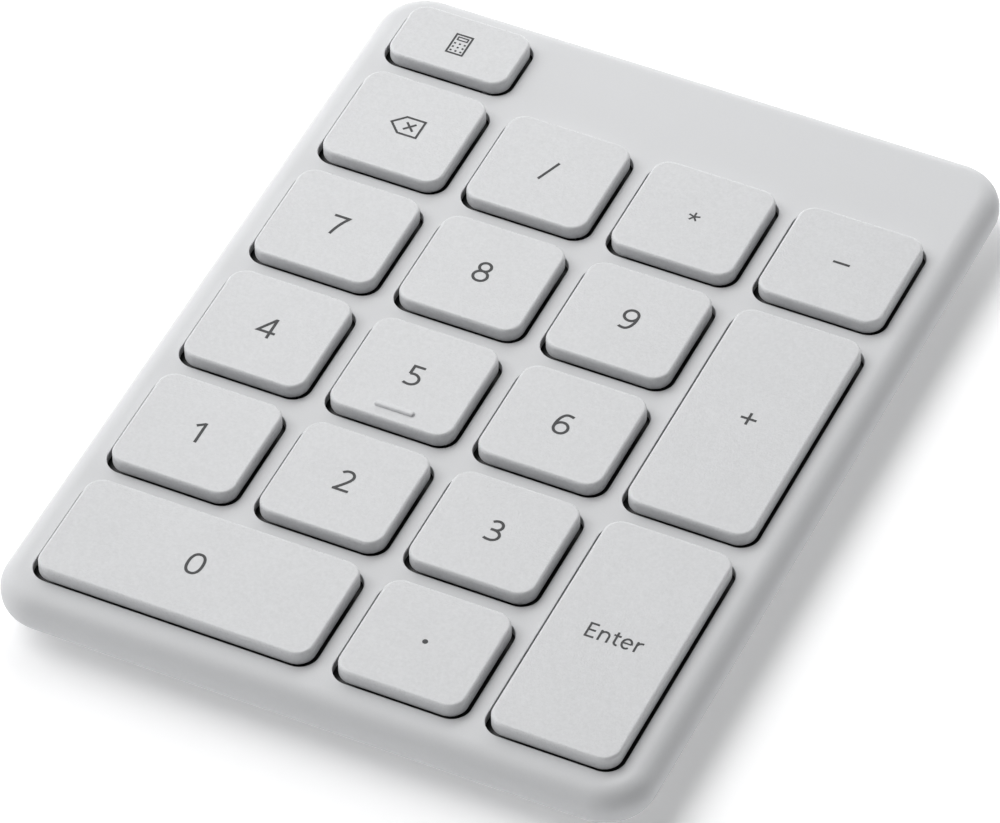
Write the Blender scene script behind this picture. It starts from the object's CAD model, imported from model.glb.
import math

import bmesh
import bpy
from mathutils import Matrix, Quaternion, Vector
from mathutils.geometry import delaunay_2d_cdt


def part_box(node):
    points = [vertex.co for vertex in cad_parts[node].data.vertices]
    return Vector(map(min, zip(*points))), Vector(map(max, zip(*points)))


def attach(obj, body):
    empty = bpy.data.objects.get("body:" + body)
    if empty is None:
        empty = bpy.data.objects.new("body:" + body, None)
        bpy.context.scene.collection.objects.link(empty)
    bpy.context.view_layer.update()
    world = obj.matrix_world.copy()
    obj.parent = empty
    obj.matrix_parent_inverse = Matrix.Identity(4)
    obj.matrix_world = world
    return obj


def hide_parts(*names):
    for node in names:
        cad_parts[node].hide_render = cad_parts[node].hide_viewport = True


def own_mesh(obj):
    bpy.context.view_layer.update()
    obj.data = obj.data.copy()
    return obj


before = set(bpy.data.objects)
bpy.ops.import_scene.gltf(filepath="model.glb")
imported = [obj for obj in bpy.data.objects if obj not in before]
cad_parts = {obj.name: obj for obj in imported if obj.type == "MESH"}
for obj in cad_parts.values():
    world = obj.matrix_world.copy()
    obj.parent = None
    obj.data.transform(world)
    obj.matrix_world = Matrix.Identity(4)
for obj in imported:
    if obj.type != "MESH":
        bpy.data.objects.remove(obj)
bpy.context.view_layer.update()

MM = 0.001

# Keys, in the order they are built; a key's node, body, cap, legend, dome and scissor frame share its name
KEYS = (
    "0", "dot", "enter", "1", "2", "3", "4", "5", "6", "7", "8", "9",
    "plus", "backspace", "divide", "multiply", "minus", "calculator",
)
WIRED_KEYS = ("0", "plus", "enter")
TURNED_KEYS = ("plus", "enter", "calculator")
SHORT_KEY = "calculator"
HOMING_KEY = "5"

# Sizes in millimetres that the frame's boxes don't hold
CASE_CORNER_R = 6.2
SIDE_TOP_R = 2.6
SIDE_BOTTOM_R = 2.0
LIP_INSET = 2.6
LIP_H = 0.85
WALL_INSET = 1.6
DECK_T = 1.2
BOSS_COLLAR_R = 2.2
BOSS_R = 1.6
BOSS_FOOT_Z = 3.0
PILOT_R = 0.82
PILOT_TOP_Z = 5.7
SCREW_SPREAD = 4
GAP_LEFT = 0.72
GAP_RIGHT = 0.42
GAP_Y = 0.24
WELL_CORNER_R = 2.4
WELL_EDGE_R = 0.12
CAP_CORNER_R = 2.2
CAP_EDGE_R = 0.4
CAP_FOOT_R = 0.12
CAP_UPRIGHT = 0.15
CAP_WALL = 1.0
CAP_T = 1.0
FLAT_BAND = 0.05
BAR_REACH = 4.8
BAR_R = 0.3
BAR_GAP = 0.05
INK_T = 0.02

top_low, top_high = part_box("top_case")
DECK_Z = top_high.z / MM
SIDE_Z = top_low.z / MM
CASE_W = (top_high.x - top_low.x) / MM
CASE_L = (top_high.y - top_low.y) / MM
CAP_TOP_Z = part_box("key_8")[1].z / MM
SKIRT_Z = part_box("key_8")[0].z / MM
CAP_UNDER_Z = CAP_TOP_Z - CAP_T
DECK_UNDER_Z = DECK_Z - DECK_T
KEY_BED_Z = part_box("membrane_top")[1].z / MM


# ---------------------------------------------------------------- mesh tools

def rounded_outline(w, l, r, centre=(0, 0), steps=12):
    """Points of a rounded rectangle, anticlockwise from its +X side."""
    points = []
    for quarter, (sx, sy) in enumerate(((1, 1), (-1, 1), (-1, -1), (1, -1))):
        for i in range(steps + 1):
            angle = math.pi / 2 * (quarter + i / steps)
            x = centre[0] + sx * (w / 2 - r) + r * math.cos(angle)
            y = centre[1] + sy * (l / 2 - r) + r * math.sin(angle)
            points.append((x, y))
    return points


def circle_outline(r, centre=(0, 0), steps=40):
    points = []
    for i in range(steps):
        angle = 2 * math.pi * i / steps
        points.append((centre[0] + r * math.cos(angle), centre[1] + r * math.sin(angle)))
    return points


def quarter_round(r, steps):
    """Pairs (in, down) along a quarter circle, from flat on top to upright."""
    pairs = []
    for i in range(steps + 1):
        angle = math.pi / 2 * i / steps
        pairs.append((r * (1 - math.sin(angle)), r * (1 - math.cos(angle))))
    return pairs


class Solid:
    """A mesh in millimetres, built ring by ring."""

    def __init__(self):
        self.bm = bmesh.new()
        self.wear = self.bm.verts.layers.float.new("wear")

    def ring(self, outline, z, wear=0.0):
        """Vertices at one height; wear goes from 0 on an untouched face to 1 on a rubbed edge."""
        verts = [self.bm.verts.new((x, y, z)) for x, y in outline]
        for v in verts:
            v[self.wear] = wear
        return verts

    def bridge(self, upper, lower):
        """Quads between two rings, facing out when upper is the higher ring of an outer wall."""
        count = len(upper)
        for i in range(count):
            j = (i + 1) % count
            self.bm.faces.new((upper[i], lower[i], lower[j], upper[j]))

    def loft(self, rings):
        """Walls through the rings, in order."""
        for upper, lower in zip(rings, rings[1:]):
            self.bridge(upper, lower)

    def fill(self, ring, up):
        """Flat face that closes a ring and faces up or down."""
        self.bm.faces.new(ring if up else ring[::-1])

    def fill_between(self, outer, holes, up):
        """Flat face between an outer ring and the rings of its holes."""
        loops = [outer] + holes
        verts = [v for loop in loops for v in loop]
        owner = [i for i, loop in enumerate(loops) for _ in loop]
        edges = []
        start = 0
        for loop in loops:
            edges += [(start + i, start + (i + 1) % len(loop)) for i in range(len(loop))]
            start += len(loop)
        flat = [Vector((v.co.x, v.co.y)) for v in verts]
        _, _, triangles, sources, _, _ = delaunay_2d_cdt(flat, edges, [], 0, 1e-6)
        for triangle in triangles:
            a, b, c = (sources[i][0] for i in triangle)
            if owner[a] == owner[b] == owner[c] > 0:
                continue
            corners = (verts[a], verts[b], verts[c])
            area = (flat[b] - flat[a]).cross(flat[c] - flat[a])
            if (area > 0) != up:
                corners = corners[::-1]
            self.bm.faces.new(corners)

    def prism(self, profile, x0, x1):
        """A closed (y, z) profile, anticlockwise seen from +X, carried along X."""
        near = [self.bm.verts.new((x0, y, z)) for y, z in profile]
        far = [self.bm.verts.new((x1, y, z)) for y, z in profile]
        count = len(profile)
        for i in range(count):
            j = (i + 1) % count
            self.bm.faces.new((near[i], near[j], far[j], far[i]))
        self.bm.faces.new(near[::-1])
        self.bm.faces.new(far)

    def block(self, low, high):
        (x0, y0, z0), (x1, y1, z1) = low, high
        self.prism(((y0, z0), (y1, z0), (y1, z1), (y0, z1)), x0, x1)

    def turned(self, profile, centre, steps=40):
        """A lathe solid from (radius, z) pairs that start and end on the axis."""
        rings = [self.ring(circle_outline(r, centre, steps), z) for r, z in profile[1:-1]]
        top = self.bm.verts.new((centre[0], centre[1], profile[0][1]))
        bottom = self.bm.verts.new((centre[0], centre[1], profile[-1][1]))
        self.loft(rings)
        for i in range(steps):
            j = (i + 1) % steps
            self.bm.faces.new((top, rings[0][i], rings[0][j]))
            self.bm.faces.new((bottom, rings[-1][j], rings[-1][i]))

    def finished(self, name, material, sharp_angle=35):
        """The object, in metres, smooth apart from edges sharper than sharp_angle."""
        mesh = bpy.data.meshes.new(name)
        bmesh.ops.recalc_face_normals(self.bm, faces=self.bm.faces)
        bmesh.ops.scale(self.bm, vec=(MM, MM, MM), verts=self.bm.verts)
        self.bm.to_mesh(mesh)
        self.bm.free()
        mesh.shade_smooth()
        mesh.set_sharp_from_angle(angle=math.radians(sharp_angle))
        obj = bpy.data.objects.new(name, mesh)
        bpy.context.scene.collection.objects.link(obj)
        mesh.materials.append(material)
        return obj


# ---------------------------------------------------------------- materials

# The span that most of a noise texture's values fall in
NOISE_SPAN = (0.3, 0.7)


def shaded(colour, factor):
    return tuple(min(1.0, c * factor) for c in colour)


class Nodes:
    """Builds one material's node tree around a Principled shader."""

    def __init__(self, name):
        self.material = bpy.data.materials.new(name)
        self.material.use_nodes = True
        self.tree = self.material.node_tree
        self.shader = self.tree.nodes["Principled BSDF"]
        self.place = self.add("ShaderNodeTexCoord").outputs["Object"]

    def add(self, kind, **settings):
        node = self.tree.nodes.new(kind)
        for key, value in settings.items():
            setattr(node, key, value)
        return node

    def link(self, source, target):
        self.tree.links.new(source, target)

    def noise(self, size_mm, detail=3.0):
        node = self.add("ShaderNodeTexNoise")
        node.inputs["Scale"].default_value = 1 / (size_mm * MM)
        node.inputs["Detail"].default_value = detail
        node.inputs["Roughness"].default_value = 0.55
        self.link(self.place, node.inputs["Vector"])
        return node.outputs["Fac"]

    def between(self, factor, low, high, span=(0.0, 1.0)):
        """Carries the factor's span over to low and high."""
        node = self.add("ShaderNodeMapRange")
        for key, value in zip(("From Min", "From Max", "To Min", "To Max"), (*span, low, high)):
            node.inputs[key].default_value = value
        self.link(factor, node.inputs["Value"])
        return node.outputs["Result"]

    def mix(self, factor, a, b):
        """A colour mix; a and b are colours or sockets."""
        node = self.add("ShaderNodeMix", data_type="RGBA")
        self.link(factor, node.inputs["Factor"])
        for socket, value in ((node.inputs["A"], a), (node.inputs["B"], b)):
            if isinstance(value, bpy.types.NodeSocket):
                self.link(value, socket)
            else:
                socket.default_value = (*value, 1.0)
        return node.outputs["Result"]

    def maths(self, operation, a, b):
        node = self.add("ShaderNodeMath", operation=operation)
        for socket, value in zip(node.inputs, (a, b)):
            if isinstance(value, bpy.types.NodeSocket):
                self.link(value, socket)
            else:
                socket.default_value = value
        return node.outputs["Value"]

    def attribute(self, name):
        return self.add("ShaderNodeAttribute", attribute_name=name).outputs["Fac"]

    def bump(self, height, depth_mm):
        node = self.add("ShaderNodeBump")
        node.inputs["Distance"].default_value = depth_mm * MM
        self.link(height, node.inputs["Height"])
        self.link(node.outputs["Normal"], self.shader.inputs["Normal"])

    def set(self, **values):
        """Sets or links the shader's inputs; spaces in their names are written as underscores."""
        for key, value in values.items():
            socket = self.shader.inputs[key.replace("_", " ")]
            if isinstance(value, bpy.types.NodeSocket):
                self.link(value, socket)
            else:
                socket.default_value = (*value, 1.0) if isinstance(value, tuple) else value


def moulded_plastic(name, colour, grain_mm, grain_depth_mm, roughness, spread=0.012):
    """Spark-textured moulding: fine grain, slight clouding, and edges rubbed smoother and lighter."""
    cloud_mm = 6.0
    cloud_share = 0.2
    speckle_mm = 1.6 * grain_mm
    speckle_share = 0.8
    roughness_swing = 0.06
    rubbed_lighter = 1.03
    rubbed_smoother = 0.1
    n = Nodes(name)
    wear = n.attribute("wear")
    cloud = n.between(n.noise(cloud_mm), 0.0, cloud_share, NOISE_SPAN)
    speckle = n.between(n.noise(speckle_mm), 0.0, speckle_share, NOISE_SPAN)
    moulded = n.mix(n.maths("ADD", cloud, speckle), shaded(colour, 1 - spread), shaded(colour, 1 + spread))
    n.set(Base_Color=n.mix(wear, moulded, shaded(colour, rubbed_lighter)))
    grain = n.noise(grain_mm, detail=2.0)
    matt = n.between(grain, roughness - roughness_swing, roughness + roughness_swing, NOISE_SPAN)
    n.set(Roughness=n.maths("SUBTRACT", matt, n.maths("MULTIPLY", wear, rubbed_smoother)))
    n.set(IOR=1.46)
    n.bump(grain, grain_depth_mm)
    return n.material


def soft_rubber(name, colour, roughness):
    """Rubber or silicone with a faintly mottled, dull surface."""
    n = Nodes(name)
    n.set(Base_Color=n.mix(n.noise(1.5), shaded(colour, 0.9), colour))
    n.set(Roughness=n.between(n.noise(0.4), roughness - 0.1, roughness + 0.1))
    n.set(IOR=1.5)
    n.bump(n.noise(0.15, detail=2.0), 0.012)
    return n.material


def worked_metal(name, colour, roughness, brushed_x=1.0):
    """Rolled or drawn metal, with its grain drawn out brushed_x times as long along X."""
    n = Nodes(name)
    stretch = n.add("ShaderNodeMapping")
    stretch.inputs["Scale"].default_value = (1 / brushed_x, 1, 1)
    n.link(n.place, stretch.inputs["Vector"])
    n.place = stretch.outputs["Vector"]
    lines = n.noise(0.2, detail=4.0)
    n.set(Base_Color=n.mix(lines, shaded(colour, 0.82), colour))
    n.set(Roughness=n.between(lines, roughness - 0.08, roughness + 0.12, NOISE_SPAN))
    n.set(Metallic=1.0)
    n.bump(lines, 0.004)
    return n.material


def smooth_film(name, colour, roughness):
    """Plastic film with slow ripples."""
    n = Nodes(name)
    n.set(Base_Color=n.mix(n.noise(4.0), shaded(colour, 0.94), colour))
    n.set(Roughness=n.between(n.noise(1.2), roughness - 0.05, roughness + 0.1))
    n.set(IOR=1.55)
    n.bump(n.noise(2.5), 0.01)
    return n.material


def board_laminate(name):
    """Solder mask over a woven glass board."""
    weave_scale = 100
    n = Nodes(name)
    weave = n.add("ShaderNodeTexWave")
    weave.inputs["Scale"].default_value = weave_scale
    n.link(n.place, weave.inputs["Vector"])
    n.set(Base_Color=n.mix(n.noise(0.8), (0.012, 0.09, 0.045), (0.02, 0.15, 0.07)))
    n.set(Roughness=n.between(n.noise(0.5), 0.25, 0.45))
    n.bump(weave.outputs["Fac"], 0.01)
    return n.material


def printed_ink(name):
    """Dark pad-printed ink with a slightly uneven coat."""
    n = Nodes(name)
    n.set(Base_Color=n.mix(n.noise(0.25), (0.03, 0.031, 0.033), (0.044, 0.045, 0.047)))
    n.set(Roughness=n.between(n.noise(0.12), 0.5, 0.7))
    n.set(IOR=1.45)
    n.bump(n.noise(0.12), 0.004)
    return n.material


def light_guide(name):
    """Frosted, half-clear plastic."""
    n = Nodes(name)
    n.set(Base_Color=n.mix(n.noise(1.0), (0.8, 0.82, 0.84), (0.9, 0.92, 0.94)))
    n.set(Roughness=n.between(n.noise(0.3), 0.25, 0.4))
    n.set(Transmission_Weight=0.5, IOR=1.49)
    n.bump(n.noise(0.5), 0.004)
    return n.material


SHELL = moulded_plastic(
    "shell_plastic", (0.595, 0.60, 0.61), grain_mm=0.16, grain_depth_mm=0.008, roughness=0.55)
BASE = moulded_plastic(
    "base_plastic", (0.55, 0.555, 0.565), grain_mm=0.22, grain_depth_mm=0.014, roughness=0.52)
CAP = moulded_plastic(
    "cap_plastic", (0.59, 0.595, 0.605), grain_mm=0.24, grain_depth_mm=0.05, roughness=0.40, spread=0.05)
SCISSOR = moulded_plastic(
    "scissor_acetal", (0.78, 0.79, 0.80), grain_mm=0.3, grain_depth_mm=0.006, roughness=0.35)
BUTTON = moulded_plastic(
    "button_plastic", (0.55, 0.56, 0.57), grain_mm=0.2, grain_depth_mm=0.01, roughness=0.45)
CONNECTOR = moulded_plastic(
    "connector_nylon", (0.72, 0.69, 0.60), grain_mm=0.25, grain_depth_mm=0.01, roughness=0.45)
CHIP = moulded_plastic(
    "chip_resin", (0.022, 0.022, 0.024), grain_mm=0.15, grain_depth_mm=0.012, roughness=0.55)
INK = printed_ink("legend_ink")
DOME = soft_rubber("dome_rubber", (0.60, 0.62, 0.61), roughness=0.65)
FOOT = soft_rubber("foot_rubber", (0.42, 0.425, 0.43), roughness=0.75)
SCREW = worked_metal("screw_steel", (0.42, 0.42, 0.44), roughness=0.32)
PLATE = worked_metal("plate_steel", (0.20, 0.205, 0.21), roughness=0.42, brushed_x=12)
WIRE = worked_metal("wire_steel", (0.58, 0.59, 0.61), roughness=0.28)
CONTACT = worked_metal("contact_metal", (0.80, 0.68, 0.42), roughness=0.3, brushed_x=6)
CELL = worked_metal("cell_steel", (0.70, 0.71, 0.73), roughness=0.24, brushed_x=8)
COMPONENT = worked_metal("component_metal", (0.62, 0.50, 0.34), roughness=0.4)
MEMBRANE = smooth_film("membrane_film", (0.03, 0.031, 0.032), roughness=0.5)
FILM = smooth_film("amber_film", (0.62, 0.38, 0.07), roughness=0.2)
BOARD = board_laminate("board_laminate")
LIGHT_PIPE = light_guide("light_pipe")


# ---------------------------------------------------------------- housing

def case_ring(solid, inset, z):
    outline = rounded_outline(CASE_W - 2 * inset, CASE_L - 2 * inset, CASE_CORNER_R - inset, steps=24)
    return solid.ring(outline, z)


def key_size(key):
    """Centre, width and length of a key's cap."""
    low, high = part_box("key_" + key)
    centre = ((low.x + high.x) / 2 / MM, (low.y + high.y) / 2 / MM)
    return centre, (high.x - low.x) / MM, (high.y - low.y) / MM


def well_ring(solid, key, spread, z, wear=0.0):
    """Outline of the key's opening, spread outwards."""
    (x, y), w, l = key_size(key)
    centre = (x + (GAP_RIGHT - GAP_LEFT) / 2, y)
    well_w = w + GAP_LEFT + GAP_RIGHT + 2 * spread
    well_l = l + 2 * (GAP_Y + spread)
    return solid.ring(rounded_outline(well_w, well_l, WELL_CORNER_R + spread, centre, steps=12), z, wear)


def screw_places():
    """Centres of the screws, one for each group of vertices that lie within a screw's spread."""
    places = []
    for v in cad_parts["case_screws"].data.vertices:
        point = Vector((v.co.x, v.co.y)) / MM
        for group in places:
            if (group[0] - point).length < SCREW_SPREAD:
                group.append(point)
                break
        else:
            places.append([point])
    centres = []
    for group in places:
        xs = [p.x for p in group]
        ys = [p.y for p in group]
        centres.append(((min(xs) + max(xs)) / 2, (min(ys) + max(ys)) / 2))
    return centres


def side_rings(solid):
    """The case's side, from the deck round the lower edge and the lip to the deck's underside."""
    rings = [case_ring(solid, SIDE_TOP_R + FLAT_BAND, DECK_Z)]
    for inward, down in quarter_round(SIDE_TOP_R, 18):
        rings.append(case_ring(solid, inward, DECK_Z - down))
    for inward, up in reversed(quarter_round(SIDE_BOTTOM_R, 12)):
        rings.append(case_ring(solid, inward, SIDE_Z + up))
    rings.append(case_ring(solid, LIP_INSET, SIDE_Z))
    rings.append(case_ring(solid, LIP_INSET, SIDE_Z + LIP_H))
    rings.append(case_ring(solid, WALL_INSET, SIDE_Z + LIP_H))
    rings.append(case_ring(solid, WALL_INSET, DECK_UNDER_Z))
    return rings


def well_rings(solid, key):
    """The opening of one key, from the deck's rounded edge down to its underside."""
    rings = [well_ring(solid, key, WELL_EDGE_R + FLAT_BAND, DECK_Z)]
    for inward, down in quarter_round(WELL_EDGE_R, 4):
        rings.append(well_ring(solid, key, inward, DECK_Z - down, wear=0.6))
    rings.append(well_ring(solid, key, 0, DECK_Z - 2 * WELL_EDGE_R))
    rings.append(well_ring(solid, key, 0, DECK_UNDER_Z))
    return rings


def boss_rings(solid, place):
    """A screw boss under the deck: a collar, the post and the pilot hole up inside it."""
    profile = (
        (BOSS_COLLAR_R, DECK_UNDER_Z), (BOSS_COLLAR_R, KEY_BED_Z),
        (BOSS_R, KEY_BED_Z), (BOSS_R, BOSS_FOOT_Z),
        (PILOT_R, BOSS_FOOT_Z), (PILOT_R, PILOT_TOP_Z))
    return [solid.ring(circle_outline(r, place), z) for r, z in profile]


def build_top_case():
    solid = Solid()
    side = side_rings(solid)
    solid.loft(side)
    deck_holes = []
    under_holes = []
    for key in KEYS:
        well = well_rings(solid, key)
        solid.loft([ring[::-1] for ring in well])
        deck_holes.append(well[0])
        under_holes.append(well[-1])
    for place in screw_places():
        boss = boss_rings(solid, place)
        solid.loft(boss)
        solid.fill(boss[-1], False)
        under_holes.append(boss[0])
    solid.fill_between(side[0], deck_holes, True)
    solid.fill_between(side[-1], under_holes, False)
    obj = solid.finished("top_shell", SHELL)
    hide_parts("top_case")
    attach(obj, "case")


# ---------------------------------------------------------------- keys

def cap_ring(solid, key, inset, z, wear=0.0):
    centre, w, l = key_size(key)
    outline = rounded_outline(w - 2 * inset, l - 2 * inset, CAP_CORNER_R - inset, centre, steps=14)
    return solid.ring(outline, z, wear)


def build_cap(key):
    """A key's cap: a softened slab with a thin skirt, and the clips and ribs inside it."""
    solid = Solid()
    rings = [cap_ring(solid, key, CAP_EDGE_R + FLAT_BAND, CAP_TOP_Z)]
    for inward, down in quarter_round(CAP_EDGE_R, 8):
        rings.append(cap_ring(solid, key, inward, CAP_TOP_Z - down, wear=1.0))
    rings.append(cap_ring(solid, key, 0, CAP_TOP_Z - CAP_EDGE_R - CAP_UPRIGHT))
    for inward, up in reversed(quarter_round(CAP_FOOT_R, 3)):
        rings.append(cap_ring(solid, key, inward, SKIRT_Z + up))
    rings.append(cap_ring(solid, key, CAP_WALL, SKIRT_Z))
    rings.append(cap_ring(solid, key, CAP_WALL, CAP_UNDER_Z))
    solid.fill(rings[0], True)
    solid.loft(rings)
    solid.fill(rings[-1], False)
    add_clips(solid, key)
    if key == HOMING_KEY:
        add_homing_bar(solid)
    obj = solid.finished("cap_" + key, CAP)
    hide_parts("key_" + key)
    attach(obj, "cap_" + key)


def add_homing_bar(solid):
    """Low bar with round ends and a rounded top, near the front edge of the middle key."""
    bar_w = 0.84
    bar_l = 5.14
    end_r = bar_w / 2 - 0.03
    edge_r = 0.32
    from_front = 2.0
    off_centre = 0.2
    (x, y), _, l = key_size(HOMING_KEY)
    centre = (x + off_centre, y - l / 2 + from_front)
    bar_top_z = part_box("key_" + HOMING_KEY)[1].z / MM
    rings = []
    for inward, down in quarter_round(edge_r, 8):
        outline = rounded_outline(bar_l - 2 * inward, bar_w - 2 * inward, end_r - inward, centre, steps=8)
        rings.append(solid.ring(outline, bar_top_z - down, wear=0.7))
    rings.append(solid.ring(rounded_outline(bar_l, bar_w, end_r, centre, steps=8), CAP_TOP_Z - INK_T))
    solid.fill(rings[0], True)
    solid.loft(rings)
    solid.fill(rings[-1], False)


def add_clips(solid, key):
    """Two clips and two guide ribs under the cap that hold the upper bars of its scissor frame."""
    frame_half_w = 2.35 if key == SHORT_KEY else 4.8
    clip_x = 0.45 * frame_half_w
    clip_w = 0.2 * frame_half_w
    clip_half_l = 0.65
    jaw = 0.25
    rib_half_t = 0.1
    rib_y_inner = BAR_REACH - BAR_R - 0.25
    rib_y_outer = BAR_REACH + BAR_R + 0.3
    sunk = 0.1
    root_z = CAP_UNDER_Z + sunk
    bar_z = CAP_UNDER_Z - BAR_GAP - BAR_R
    foot_z = bar_z - jaw
    slot_r = BAR_R + BAR_GAP
    mouth = math.degrees(math.asin(jaw / slot_r))
    slot = arc(-BAR_REACH, bar_z, slot_r, slot_r, 180 + mouth, -mouth, 16)
    front = -BAR_REACH - clip_half_l
    back = -BAR_REACH + clip_half_l
    outline = [(front, foot_z)] + slot + [(back, foot_z), (back, root_z), (front, root_z)]
    known = set(solid.bm.verts)
    for side in (-1, 1):
        x0, x1 = sorted((side * clip_x, side * (clip_x + clip_w)))
        solid.prism(outline, x0, x1)
    for rib_y in (rib_y_inner, rib_y_outer):
        solid.block((-clip_x, rib_y - rib_half_t, foot_z), (clip_x, rib_y + rib_half_t, root_z))
    turn = Matrix.Rotation(math.pi / 2 if key in TURNED_KEYS else 0, 4, "Z")
    (x, y), _, _ = key_size(key)
    move = Matrix.Translation((x, y, 0)) @ turn
    bmesh.ops.transform(solid.bm, matrix=move, verts=[v for v in solid.bm.verts if v not in known])


# ---------------------------------------------------------------- mechanism

def squash_with_key(piece, key):
    """The part closes up towards low_z, so that what is at high_z goes down with the key."""
    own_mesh(piece)


def close_scissor(key):
    """The frames' lower bars stay on the plate and the upper bars stay in the cap's clips."""
    squash_with_key(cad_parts["scissor_" + key], key)


def build_dome(key):
    """Hollow rubber spring: a foot flange, a thin cone and a crown with a plunger inside it."""
    foot_r = 1.75 if key == SHORT_KEY else 3.4
    flange_z = KEY_BED_Z + 0.35
    crown_r = 0.53 * foot_r
    crown_z = CAP_UNDER_Z - 0.05
    crown_h = 0.65
    cone_top = (0.57 * foot_r, crown_z - 0.8)
    cone_bend = (0.8 * foot_r, KEY_BED_Z + 0.8)
    cone_foot = (0.85 * foot_r, KEY_BED_Z + 0.45)
    mouth_r = 0.74 * foot_r
    roof_r = 0.44 * foot_r
    roof_z = KEY_BED_Z + 1.95
    plunger_r = 0.26 * foot_r
    plunger_tip_r = 0.2 * foot_r
    plunger_z = KEY_BED_Z + 1.5
    soft_r = 0.12
    profile = [(0, crown_z)]
    profile += [(crown_r - inward, crown_z - down) for inward, down in quarter_round(soft_r, 4)]
    profile.append((crown_r, crown_z - crown_h))
    profile += bend(cone_top, cone_bend, cone_foot, 8)
    profile += [(foot_r - inward, flange_z - down) for inward, down in quarter_round(soft_r, 4)]
    profile += [(foot_r, KEY_BED_Z), (mouth_r, KEY_BED_Z)]
    profile += [(roof_r, roof_z), (plunger_r, roof_z)]
    profile += [(plunger_r, plunger_z + 0.05), (plunger_tip_r, plunger_z), (0, plunger_z)]
    solid = Solid()
    solid.turned(profile, key_size(key)[0])
    obj = solid.finished("dome_" + key, DOME, sharp_angle=50)
    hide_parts("rubber_domes")
    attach(obj, "case")
    squash_with_key(obj, key)


def foot_groups():
    """Centre, width and length of each rubber foot, one in each quarter of the base."""
    groups = {}
    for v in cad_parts["rubber_feet"].data.vertices:
        groups.setdefault((v.co.x > 0, v.co.y > 0), []).append(v.co / MM)
    for points in groups.values():
        xs = [p.x for p in points]
        ys = [p.y for p in points]
        yield ((min(xs) + max(xs)) / 2, (min(ys) + max(ys)) / 2), max(xs) - min(xs), max(ys) - min(ys)


def build_feet():
    """Rubber feet with round ends and a softened tread edge."""
    tread_r = 0.35
    low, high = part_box("rubber_feet")
    solid = Solid()
    for centre, w, l in foot_groups():
        end_r = w / 2 - 0.03
        rings = [solid.ring(rounded_outline(w, l, end_r, centre), high.z / MM)]
        for inward, up in reversed(quarter_round(tread_r, 6)):
            outline = rounded_outline(w - 2 * inward, l - 2 * inward, end_r - inward, centre)
            rings.append(solid.ring(outline, low.z / MM + up))
        solid.fill(rings[0], True)
        solid.loft(rings)
        solid.fill(rings[-1], False)
    obj = solid.finished("feet", FOOT)
    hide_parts("rubber_feet")
    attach(obj, "case")


# ---------------------------------------------------------------- legends

# Widths of the legends' strokes; a legend is drawn in millimetres about the middle of its key
DIGIT_W = 0.36
SIGN_W = 0.33
ICON_W = 0.29
WORD_W = 0.265


def arc(cx, cy, rx, ry, start, end, steps=20):
    """Points along an ellipse, angles in degrees."""
    points = []
    for i in range(steps + 1):
        angle = math.radians(start + (end - start) * i / steps)
        points.append((cx + rx * math.cos(angle), cy + ry * math.sin(angle)))
    return points


def bend(p0, p1, p2, steps=10):
    """Points along a quadratic curve from p0 to p2, pulled towards p1."""
    points = []
    for i in range(steps + 1):
        t = i / steps
        points.append(tuple(
            (1 - t) ** 2 * a + 2 * t * (1 - t) * b + t * t * c for a, b, c in zip(p0, p1, p2)))
    return points


def stroke(points, width, closed=False):
    """Quads that cover a line of that width through the points, with mitred corners and square ends."""
    same_place = 1e-4
    sharpest_mitre = 0.3
    path = []
    for p in map(Vector, points):
        if not path or (p - path[-1]).length > same_place:
            path.append(p)
    if closed and (path[0] - path[-1]).length < same_place:
        path.pop()
    count = len(path)
    sides = []
    for i, p in enumerate(path):
        before = path[i - 1] if closed or i > 0 else None
        after = path[(i + 1) % count] if closed or i < count - 1 else None
        into = (p - before).normalized() if before is not None else (after - p).normalized()
        out = (after - p).normalized() if after is not None else into
        normal = Vector((-(into + out).y, (into + out).x)).normalized()
        mitre = max(normal.dot(Vector((-into.y, into.x))), sharpest_mitre)
        reach = width / 2 / mitre
        sides.append((p + normal * reach, p - normal * reach))
    quads = []
    for i in range(count if closed else count - 1):
        left, right = sides[i]
        next_left, next_right = sides[(i + 1) % count]
        quads.append((left, right, next_right, next_left))
    return quads


def digit_nine():
    bowl = stroke(arc(0.03, 0.68, 0.86, 0.87, 0, 360, 40), DIGIT_W, closed=True)
    back = arc(-0.09, 0.42, 0.99, 1.88, 12, -90, 24)
    tail = bend((-0.09, -1.46), (-0.5, -1.46), (-0.79, -1.32))
    return bowl + stroke(back + tail, DIGIT_W)


def digit_six():
    """The nine, turned half round."""
    middle = Vector((0.02, 0.03))
    return [tuple(2 * middle - p for p in quad) for quad in digit_nine()]


def digit_eight():
    upper = arc(0.04, 0.86, 0.72, 0.70, 0, 360, 40)
    lower = arc(0.04, -0.65, 0.88, 0.82, 0, 360, 40)
    return stroke(upper, DIGIT_W, closed=True) + stroke(lower, DIGIT_W, closed=True)


def digit_seven():
    return stroke([(-1.0, 1.5), (0.92, 1.5)] + bend((0.90, 1.46), (0.1, 0.3), (-0.28, -1.56)), DIGIT_W)


def digit_five():
    top = stroke([(0.8, 1.44), (-0.57, 1.44), (-0.62, 0.12)], DIGIT_W)
    bowl = bend((-0.62, 0.12), (-0.4, 0.22), (-0.12, 0.22)) + arc(-0.12, -0.64, 0.92, 0.86, 90, -90)
    tail = bend((-0.12, -1.50), (-0.55, -1.50), (-0.86, -1.34))
    return top + stroke(bowl + tail, DIGIT_W)


def digit_four():
    stem = stroke([(0.55, 1.62), (0.55, -1.66)], DIGIT_W)
    arms = stroke([(0.50, 1.50), (-1.0, -0.70), (1.22, -0.70)], DIGIT_W)
    return stem + arms


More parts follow.
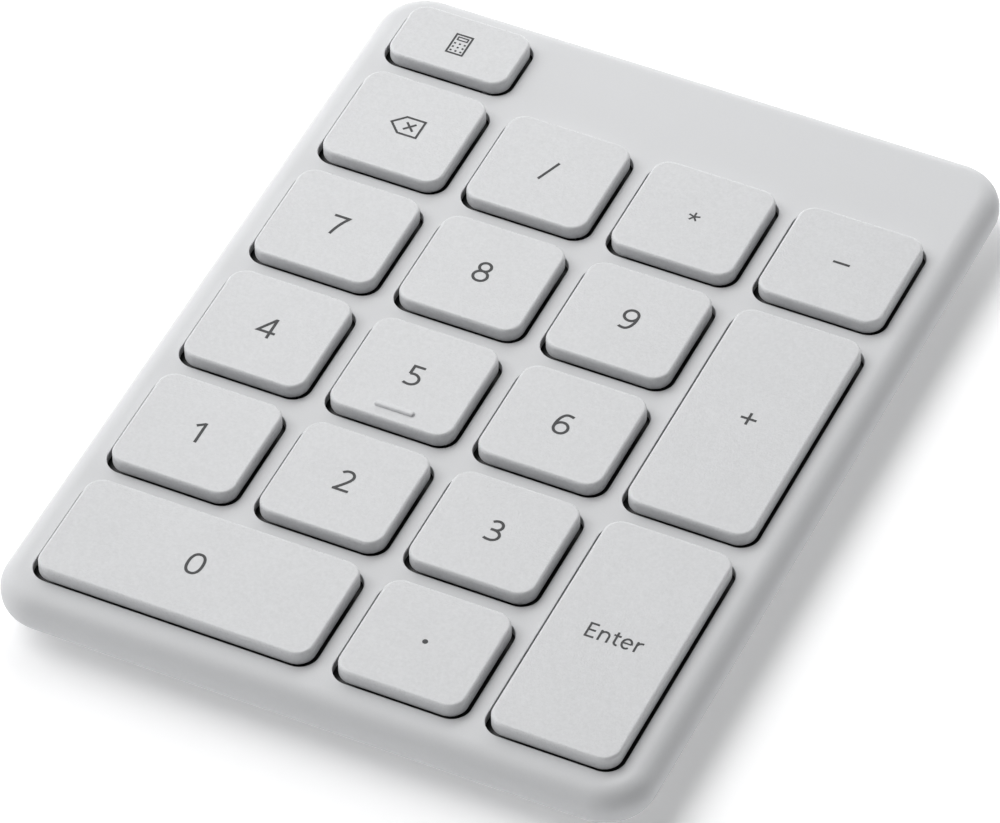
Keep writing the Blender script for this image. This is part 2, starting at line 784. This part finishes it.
def digit_three():
    upper = bend((-0.76, 1.34), (-0.45, 1.62), (-0.08, 1.62)) + arc(-0.08, 0.92, 0.68, 0.70, 90, -90)
    middle = [(-0.6, 0.22)]
    lower = [(-0.6, 0.22), (-0.14, 0.22)] + arc(-0.14, -0.57, 0.93, 0.79, 90, -90)
    tail = bend((-0.14, -1.36), (-0.6, -1.36), (-0.88, -1.2))
    return stroke(upper + middle, DIGIT_W) + stroke(lower + tail, DIGIT_W)


def digit_two():
    hook = bend((-0.84, 1.26), (-0.5, 1.63), (-0.04, 1.63)) + arc(-0.04, 0.86, 0.76, 0.77, 90, -10)
    slope = bend((0.71, 0.72), (0.55, 0.1), (-0.82, -1.34))
    return stroke(hook + slope[1:], DIGIT_W) + stroke([(-1.0, -1.35), (1.02, -1.35)], DIGIT_W)


def digit_one():
    flag = stroke([(-0.54, 0.98), (0.36, 1.58)], DIGIT_W)
    return flag + stroke([(0.42, 1.74), (0.42, -1.52)], DIGIT_W)


def digit_zero():
    """A superellipse, a little squarer than an oval."""
    x = -0.44
    y = 0.06
    half_w = 0.91
    half_l = 1.49
    power = 0.86
    steps = 48
    points = []
    for i in range(steps):
        angle = 2 * math.pi * i / steps
        across = math.copysign(abs(math.cos(angle)) ** power, math.cos(angle))
        along = math.copysign(abs(math.sin(angle)) ** power, math.sin(angle))
        points.append((x + half_w * across, y + half_l * along))
    return stroke(points, DIGIT_W, closed=True)


def plus_sign():
    x = 0.24
    y = 0.32
    reach = 0.98
    across = stroke([(x - reach, y), (x + reach, y)], SIGN_W)
    return across + stroke([(x, y - reach), (x, y + reach)], SIGN_W)


def minus_sign():
    return stroke([(-1.04, 0.08), (1.08, 0.08)], SIGN_W)


def slash():
    return stroke([(0.70, 1.74), (-0.62, -1.62)], SIGN_W)


def asterisk():
    """Five arms, the first one towards the back."""
    arms = 5
    arm_l = 0.75
    arm_w = 0.23
    centre = Vector((0.02, 0.10))
    quads = []
    for i in range(arms):
        angle = math.radians(90 + 360 / arms * i)
        tip = centre + arm_l * Vector((math.cos(angle), math.sin(angle)))
        quads += stroke([centre, tip], arm_w)
    return quads


def decimal_point():
    point_r = 0.34
    return [tuple(map(Vector, circle_outline(point_r, (0, 0.08), 32)))]


def backspace_icon():
    outline = [(-1.76, 0.06), (-0.34, 1.49), (2.1, 1.49), (2.1, -1.40), (-0.34, -1.40)]
    falling = stroke([(0.04, 0.68), (1.27, -0.58)], ICON_W)
    rising = stroke([(1.27, 0.68), (0.04, -0.58)], ICON_W)
    return stroke(outline, ICON_W, closed=True) + falling + rising


def calculator_icon():
    body_w = 0.25
    display_w = 0.18
    dot = 0.26
    middle_x = 0.02
    pitch_x = 0.65
    pitch_y = 0.64
    body = stroke([(-1.04, -1.75), (1.08, -1.75), (1.08, 1.54), (-1.04, 1.54)], body_w, closed=True)
    display = stroke([(-0.62, 0.62), (0.68, 0.62), (0.68, 1.12), (-0.62, 1.12)], display_w, closed=True)
    dots = []
    for column in (-1, 0, 1):
        for row in range(3):
            x = middle_x + pitch_x * column
            y = -pitch_y * row
            dots += stroke([(x - dot / 2, y), (x + dot / 2, y)], dot)
    return body + display + dots


def enter_word():
    """The word's strokes, letter by letter."""
    base = -0.98
    e_bar_w = 0.22
    e_stem = stroke([(-2.07, 1.11), (-3.05, 1.11), (-3.05, -0.86), (-2.0, -0.86)], WORD_W)
    e_arm = stroke([(-3.05, 0.14), (-2.13, 0.14)], WORD_W)
    n_stem = stroke([(-1.48, 0.62), (-1.48, base)], WORD_W)
    n_arch = stroke(arc(-0.95, -0.07, 0.53, 0.57, 165, 0) + [(-0.42, base)], WORD_W)
    t_foot = arc(0.78, -0.5, 0.38, 0.38, 180, 270, 8) + [(0.88, -0.88)]
    t_stem = stroke([(0.4, 1.05), (0.4, -0.5)] + t_foot, WORD_W)
    t_bar = stroke([(0.02, 0.5), (0.9, 0.5)], WORD_W)
    e_bar = stroke([(1.34, -0.14), (2.36, -0.14)], e_bar_w)
    e_bowl = stroke(arc(1.84, -0.19, 0.56, 0.72, 0, 312, 36), WORD_W)
    r_stem = stroke([(2.98, 0.62), (2.98, base)], WORD_W)
    r_arm = stroke(bend((2.98, -0.1), (3.05, 0.54), (3.68, 0.5)), WORD_W)
    return e_stem + e_arm + n_stem + n_arch + t_stem + t_bar + e_bar + e_bowl + r_stem + r_arm


LEGENDS = {
    "0": digit_zero,
    "1": digit_one,
    "2": digit_two,
    "3": digit_three,
    "4": digit_four,
    "5": digit_five,
    "6": digit_six,
    "7": digit_seven,
    "8": digit_eight,
    "9": digit_nine,
    "dot": decimal_point,
    "enter": enter_word,
    "plus": plus_sign,
    "minus": minus_sign,
    "multiply": asterisk,
    "divide": slash,
    "backspace": backspace_icon,
    "calculator": calculator_icon,
}


def build_legend(key):
    """A thin printed layer: the union of the legend's strokes, given a little thickness."""
    (x, y), _, _ = key_size(key)
    points = []
    faces = []
    for shape in LEGENDS[key]():
        area = sum(a.cross(b) for a, b in zip(shape, shape[1:] + shape[:1]))
        if area < 0:
            shape = shape[::-1]
        faces.append(list(range(len(points), len(points) + len(shape))))
        points += shape
    flat, _, triangles, _, _, covered_by = delaunay_2d_cdt(points, [], faces, 1, 1e-4)
    solid = Solid()
    verts = [solid.bm.verts.new((x + p.x, y + p.y, CAP_TOP_Z + INK_T)) for p in flat]
    for triangle, covers in zip(triangles, covered_by):
        if covers:
            solid.bm.faces.new([verts[i] for i in triangle])
    loose = [v for v in solid.bm.verts if not v.link_faces]
    bmesh.ops.delete(solid.bm, geom=loose, context="VERTS")
    thickened = bmesh.ops.extrude_face_region(solid.bm, geom=solid.bm.faces[:])
    under = [g for g in thickened["geom"] if isinstance(g, bmesh.types.BMVert)]
    bmesh.ops.translate(solid.bm, verts=under, vec=(0, 0, -2 * INK_T))
    obj = solid.finished("legend_" + key, INK)
    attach(obj, "cap_" + key)


# ---------------------------------------------------------------- stage

def look_from(azimuth, elevation):
    """Direction from the object to a place; azimuth 0 is in front of it, angles in degrees."""
    a = math.radians(azimuth)
    e = math.radians(elevation)
    return Vector((math.sin(a) * math.cos(e), -math.cos(a) * math.cos(e), math.sin(e)))


def hang(lamp, azimuth, elevation, distance=0.0):
    """Adds a lamp on that side of the object, facing it."""
    side = look_from(azimuth, elevation)
    obj = bpy.data.objects.new(lamp.name, lamp)
    obj.location = side * distance
    obj.rotation_mode = "QUATERNION"
    obj.rotation_quaternion = (-side).to_track_quat("-Z", "Y")
    bpy.context.scene.collection.objects.link(obj)


def add_sun(name, azimuth, elevation, strength, softness):
    """Light from far away; softness is its width in degrees."""
    lamp = bpy.data.lights.new(name, "SUN")
    lamp.energy = strength
    lamp.angle = math.radians(softness)
    hang(lamp, azimuth, elevation)


def add_softbox(name, azimuth, elevation, distance, size, power):
    """Round softbox close by; distance and size in metres."""
    lamp = bpy.data.lights.new(name, "AREA")
    lamp.shape = "DISK"
    lamp.size = size
    lamp.energy = power
    hang(lamp, azimuth, elevation, distance)


def build_floor():
    """Matt white paper, far larger than the view, that glows faintly like a lit table."""
    floor_r = 40
    bm = bmesh.new()
    bmesh.ops.create_circle(bm, cap_ends=True, segments=64, radius=floor_r)
    mesh = bpy.data.meshes.new("floor")
    bm.to_mesh(mesh)
    bm.free()
    floor = bpy.data.objects.new("floor", mesh)
    bpy.context.scene.collection.objects.link(floor)
    n = Nodes("floor_paper")
    n.set(Base_Color=n.mix(n.noise(40.0), (0.90, 0.90, 0.905), (0.92, 0.92, 0.925)))
    n.set(Roughness=0.9, Specular_IOR_Level=0.1)
    n.set(Emission_Color=(1.0, 1.0, 1.0), Emission_Strength=0.22)
    mesh.materials.append(n.material)


def build_surround(strength):
    """Dim studio: a pale backdrop at the horizon, a bright band above it that fills the sides, dark overhead."""
    backdrop = 0.5
    band = 1.0
    overhead = 0.015
    # Upward part of the direction, and the brightness there
    stops = ((0.06, backdrop), (0.12, band), (0.20, band), (0.32, overhead))
    world = bpy.data.worlds.new("studio")
    world.use_nodes = True
    tree = world.node_tree
    direction = tree.nodes.new("ShaderNodeTexCoord").outputs["Generated"]
    split = tree.nodes.new("ShaderNodeSeparateXYZ")
    tree.links.new(direction, split.inputs["Vector"])
    ramp = tree.nodes.new("ShaderNodeValToRGB")
    elements = ramp.color_ramp.elements
    while len(elements) < len(stops):
        elements.new(0.5)
    for element, (height, level) in zip(elements, stops):
        element.position = height
        element.color = (0.98 * level, 0.99 * level, level, 1)
    tree.links.new(split.outputs["Z"], ramp.inputs["Fac"])
    background = tree.nodes["Background"]
    tree.links.new(ramp.outputs["Color"], background.inputs["Color"])
    background.inputs["Strength"].default_value = strength
    bpy.context.scene.world = world


def build_lights():
    add_sun("key_light", azimuth=-90, elevation=55, strength=1.92, softness=50)
    add_sun("corner_light", azimuth=-135, elevation=50, strength=0.36, softness=50)
    add_sun("back_rim", azimuth=180, elevation=20, strength=0.8, softness=40)
    add_sun("left_rim", azimuth=-90, elevation=22, strength=0.25, softness=40)
    add_softbox("high_softbox", azimuth=-137, elevation=60, distance=0.24, size=0.12, power=0.11)
    add_softbox("near_softbox", azimuth=-140, elevation=45, distance=0.35, size=0.15, power=0.05)
    add_softbox("far_softbox", azimuth=-155, elevation=40, distance=0.5, size=0.25, power=0.17)


def build_camera():
    """Long lens from the front right, above the object."""
    place = Vector((271.16, -552.99, 650.94)) * MM
    aim = Vector((1.398, -5.734, 7.7)) * MM
    nudge = Vector((-0.058, 0.058, 0)) * MM
    roll = math.radians(-1.508)
    data = bpy.data.cameras.new("camera")
    data.sensor_width = 36
    data.lens = 275.1
    data.clip_start = 0.05
    data.clip_end = 100
    camera = bpy.data.objects.new("camera", data)
    camera.rotation_mode = "QUATERNION"
    facing = (aim - place).to_track_quat("-Z", "Y")
    camera.rotation_quaternion = facing @ Quaternion((0, 0, 1), roll)
    camera.location = place + camera.rotation_quaternion @ nudge
    bpy.context.scene.collection.objects.link(camera)
    bpy.context.scene.camera = camera


# ---------------------------------------------------------------- assembly

# CAD nodes that are shown as they are, with their materials
CARRIED = {
    "bottom_case": BASE,
    "battery_door": BASE,
    "case_screws": SCREW,
    "pair_button": BUTTON,
    "status_light": LIGHT_PIPE,
    "support_plate": PLATE,
    "membrane_bottom": MEMBRANE,
    "membrane_spacer": MEMBRANE,
    "membrane_top": MEMBRANE,
    "circuit_board": BOARD,
    "radio_chip": CHIP,
    "board_components": COMPONENT,
    "membrane_connector": CONNECTOR,
    "pair_switch": CHIP,
    "coin_cell": CELL,
    "positive_contact": CONTACT,
    "negative_contact": CONTACT,
    "insulating_film": FILM,
}
CARRIED.update({"scissor_" + key: SCISSOR for key in KEYS})
CARRIED.update({"stabiliser_" + key: WIRE for key in WIRED_KEYS})


def dress_carried_nodes():
    for name, material in CARRIED.items():
        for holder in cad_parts[name].material_slots:
            holder.material = material


build_top_case()
for key_name in KEYS:
    build_cap(key_name)
    build_legend(key_name)
    build_dome(key_name)
    close_scissor(key_name)
build_feet()
dress_carried_nodes()
build_floor()
build_surround(1.4)
build_lights()
build_camera()
bpy.context.scene.view_settings.view_transform = "Standard"
